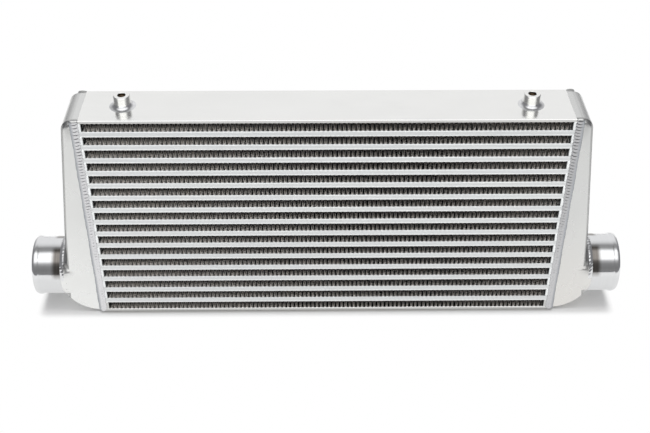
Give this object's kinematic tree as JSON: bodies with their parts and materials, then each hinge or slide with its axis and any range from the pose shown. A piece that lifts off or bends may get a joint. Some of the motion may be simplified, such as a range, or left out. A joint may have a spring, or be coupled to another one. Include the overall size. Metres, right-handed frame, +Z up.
{
  "type": "intercooler",
  "caption": "Front-mount air-to-air intercooler with a brazed bar-and-plate core, cast end tanks, beaded hose pipes and threaded mounting bosses.",
  "frame": {"origin": "centre of the bottom side plate's underside", "axes": "+X along the charge air to the viewer's right, +Y from the front face to the rear face, +Z up"},
  "size_m": [0.77, 0.081, 0.3147],
  "materials": {
    "side_plate": "mill-finish rolled plate, lightly brushed along its length",
    "bar": "brazed bar, bare and bright",
    "air_fin": "pressed thin sheet, bare",
    "turbulator": "pressed thin sheet, bare",
    "end_tank": "cast, then finely sanded to a satin surface",
    "hose_pipe": "polished tube",
    "boss": "turned bar",
    "weld": "rippled weld metal"
  },
  "bodies": {
    "root": {"bottom_plate": "side_plate", "top_plate": "side_plate", "air_fin_01": "air_fin", "air_fin_02": "air_fin", "air_fin_03": "air_fin", "air_fin_04": "air_fin", "air_fin_05": "air_fin", "air_fin_06": "air_fin", "air_fin_07": "air_fin", "air_fin_08": "air_fin", "air_fin_09": "air_fin", "air_fin_10": "air_fin", "air_fin_11": "air_fin", "air_fin_12": "air_fin", "air_fin_13": "air_fin", "air_fin_14": "air_fin", "air_fin_15": "air_fin", "air_fin_16": "air_fin", "charge_passage_01": "bar", "charge_passage_02": "bar", "charge_passage_03": "bar", "charge_passage_04": "bar", "charge_passage_05": "bar", "charge_passage_06": "bar", "charge_passage_07": "bar", "charge_passage_08": "bar", "charge_passage_09": "bar", "charge_passage_10": "bar", "charge_passage_11": "bar", "charge_passage_12": "bar", "charge_passage_13": "bar", "charge_passage_14": "bar", "charge_passage_15": "bar", "turbulator_01": "turbulator", "turbulator_02": "turbulator", "turbulator_03": "turbulator", "turbulator_04": "turbulator", "turbulator_05": "turbulator", "turbulator_06": "turbulator", "turbulator_07": "turbulator", "turbulator_08": "turbulator", "turbulator_09": "turbulator", "turbulator_10": "turbulator", "turbulator_11": "turbulator", "turbulator_12": "turbulator", "turbulator_13": "turbulator", "turbulator_14": "turbulator", "turbulator_15": "turbulator", "left_end_tank": "end_tank", "left_hose_pipe": "hose_pipe", "left_mounting_boss": "boss", "left_tank_weld": "weld", "left_pipe_weld": "weld", "left_boss_weld": "weld", "right_end_tank": "end_tank", "right_hose_pipe": "hose_pipe", "right_mounting_boss": "boss", "right_tank_weld": "weld", "right_pipe_weld": "weld", "right_boss_weld": "weld"}
  },
  "joints": []
}
